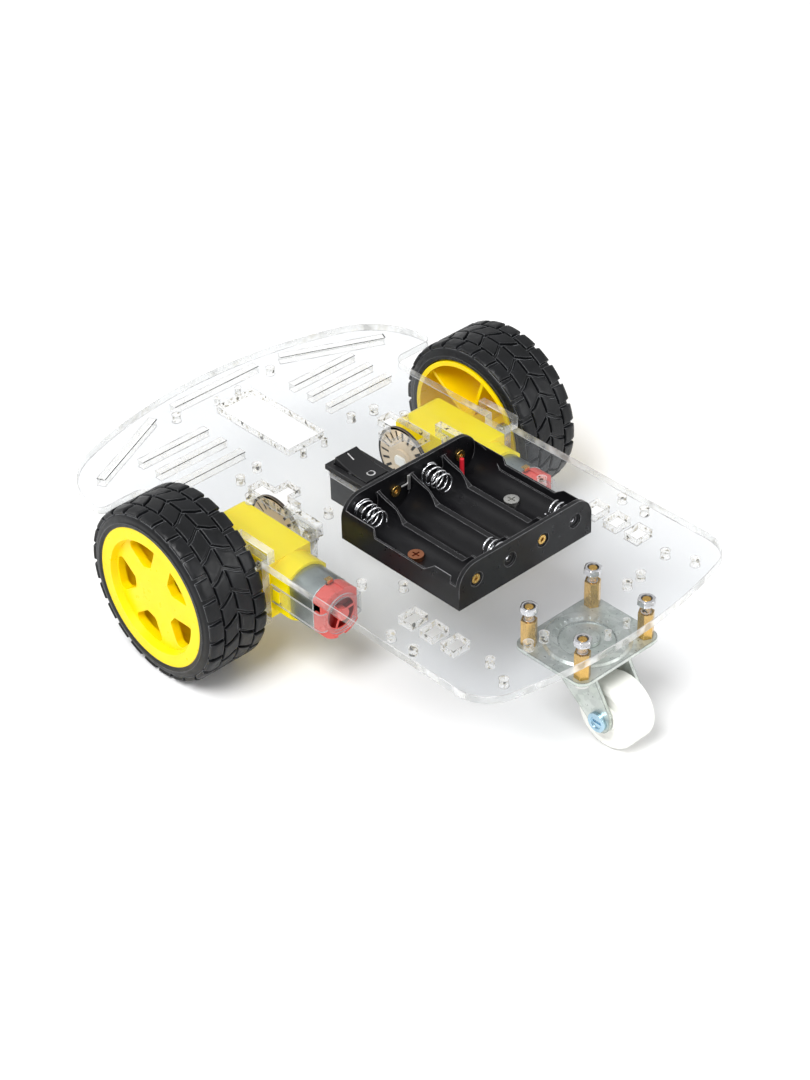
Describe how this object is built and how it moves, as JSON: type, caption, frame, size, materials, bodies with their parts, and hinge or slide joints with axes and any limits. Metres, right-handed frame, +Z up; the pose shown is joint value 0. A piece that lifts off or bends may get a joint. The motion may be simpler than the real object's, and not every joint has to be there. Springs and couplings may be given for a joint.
{
  "type": "two wheel robot car",
  "caption": "Clear plate car chassis with geared motors and wheels, a swivel caster behind, a battery tray and a rocker switch on top.",
  "frame": {"origin": "on the ground, under the middle of the car's bounding box", "axes": "+X forward along the plate, +Y to the left along the drive axle, +Z up"},
  "size_m": [0.225, 0.175, 0.065],
  "materials": {
    "clear_acrylic": "clear laser-cut acrylic, polished faces",
    "clear_strap": "clear thin plastic band",
    "steel": "nickel-plated steel",
    "zinc_steel": "zinc-plated pressed steel, satin",
    "yellow_plastic": "moulded ABS, semi-gloss",
    "red_plastic": "moulded plastic, semi-gloss",
    "magnet": "sintered ferrite, matt",
    "brass": "bright turned brass",
    "black_plastic": "moulded ABS, satin black",
    "wire_red": "PVC insulation",
    "tyre": "moulded rubber, matt",
    "white_nylon": "moulded nylon, satin",
    "disc_board": "tan laminate disc with slots"
  },
  "bodies": {
    "chassis": {"chassis_plate": "clear_acrylic", "bracket_left_outer": "clear_acrylic", "bracket_left_inner": "clear_acrylic", "bracket_right_outer": "clear_acrylic", "bracket_right_inner": "clear_acrylic", "bracket_screws": "steel", "bracket_nuts": "steel", "gearbox_left_outer": "yellow_plastic", "gearbox_left_inner": "yellow_plastic", "gearbox_right_outer": "yellow_plastic", "gearbox_right_inner": "yellow_plastic", "gearbox_screws": "steel", "gear_pins": "steel", "motor_can_left": "zinc_steel", "motor_can_right": "zinc_steel", "motor_cap_left": "red_plastic", "motor_cap_right": "red_plastic", "motor_magnets": "magnet", "motor_terminals": "brass", "motor_strap_left": "clear_strap", "motor_strap_right": "clear_strap", "battery_tray": "black_plastic", "battery_springs": "steel", "battery_rivets": "brass", "battery_lead": "wire_red", "battery_tail": "steel", "battery_screws": "steel", "battery_nuts": "steel", "switch_housing": "black_plastic", "switch_terminals": "brass", "caster_plate": "zinc_steel", "caster_standoffs": "brass", "caster_nuts": "steel", "caster_screws": "steel", "caster_kingpin": "zinc_steel", "caster_balls": "steel"},
    "wheel_left": {"tyre_left": "tyre", "rim_left": "yellow_plastic", "output_shaft_left": "white_nylon", "output_gear_left": "white_nylon", "encoder_disc_left": "disc_board"},
    "idler_left": {"idler_gear_left": "white_nylon"},
    "crown_left": {"crown_gear_left": "white_nylon"},
    "rotor_left": {"motor_pinion_left": "brass", "motor_rotor_left": "steel"},
    "wheel_right": {"tyre_right": "tyre", "rim_right": "yellow_plastic", "output_shaft_right": "white_nylon", "output_gear_right": "white_nylon", "encoder_disc_right": "disc_board"},
    "idler_right": {"idler_gear_right": "white_nylon"},
    "crown_right": {"crown_gear_right": "white_nylon"},
    "rotor_right": {"motor_pinion_right": "brass", "motor_rotor_right": "steel"},
    "rocker": {"switch_rocker": "black_plastic"},
    "contact": {"switch_contact": "brass"},
    "fork": {"caster_fork": "zinc_steel", "caster_axle": "zinc_steel", "caster_axle_nut": "zinc_steel"},
    "caster_wheel": {"caster_wheel": "white_nylon"}
  },
  "joints": [
    {"name": "wheel_left_spin", "type": "hinge", "parent": "chassis", "child": "wheel_left", "pos_m": [0.0345, 0.0744, 0.0325], "axis": [0, 1, 0], "continuous": true},
    {"name": "idler_left_spin", "type": "hinge", "parent": "chassis", "child": "idler_left", "pos_m": [0.02475, 0.041, 0.03028], "axis": [0, 1, 0], "continuous": true},
    {"name": "crown_left_spin", "type": "hinge", "parent": "chassis", "child": "crown_left", "pos_m": [0.0179, 0.044, 0.0325], "axis": [0, 1, 0], "continuous": true},
    {"name": "rotor_left_spin", "type": "hinge", "parent": "chassis", "child": "rotor_left", "pos_m": [0, 0.0466, 0.0325], "axis": [1, 0, 0], "continuous": true},
    {"name": "wheel_right_spin", "type": "hinge", "parent": "chassis", "child": "wheel_right", "pos_m": [0.0345, -0.0744, 0.0325], "axis": [0, 1, 0], "continuous": true},
    {"name": "idler_right_spin", "type": "hinge", "parent": "chassis", "child": "idler_right", "pos_m": [0.02475, -0.041, 0.03028], "axis": [0, 1, 0], "continuous": true},
    {"name": "crown_right_spin", "type": "hinge", "parent": "chassis", "child": "crown_right", "pos_m": [0.0179, -0.044, 0.0325], "axis": [0, 1, 0], "continuous": true},
    {"name": "rotor_right_spin", "type": "hinge", "parent": "chassis", "child": "rotor_right", "pos_m": [0, -0.0466, 0.0325], "axis": [1, 0, 0], "continuous": true},
    {"name": "switch_rock", "type": "hinge", "parent": "chassis", "child": "rocker", "pos_m": [0.0235, 0, 0.0485], "axis": [0, 1, 0], "range_deg": [0, 20]},
    {"name": "contact_rock", "type": "hinge", "parent": "chassis", "child": "contact", "pos_m": [0.0245, 0, 0.038], "axis": [0, 1, 0], "range_deg": [-10, 0]},
    {"name": "caster_swivel", "type": "hinge", "parent": "chassis", "child": "fork", "pos_m": [-0.086, 0, 0.029], "axis": [0, 0, 1], "continuous": true},
    {"name": "caster_roll", "type": "hinge", "parent": "fork", "child": "caster_wheel", "pos_m": [-0.1, 0, 0.0125], "axis": [0, 1, 0], "continuous": true}
  ],
  "couplings": [
    {"joint": "idler_left_spin", "follows": "wheel_left_spin", "ratio": -4},
    {"joint": "crown_left_spin", "follows": "wheel_left_spin", "ratio": 12},
    {"joint": "rotor_left_spin", "follows": "wheel_left_spin", "ratio": -48},
    {"joint": "idler_right_spin", "follows": "wheel_right_spin", "ratio": -4},
    {"joint": "crown_right_spin", "follows": "wheel_right_spin", "ratio": 12},
    {"joint": "rotor_right_spin", "follows": "wheel_right_spin", "ratio": 48},
    {"joint": "contact_rock", "follows": "switch_rock", "ratio": -0.5}
  ]
}
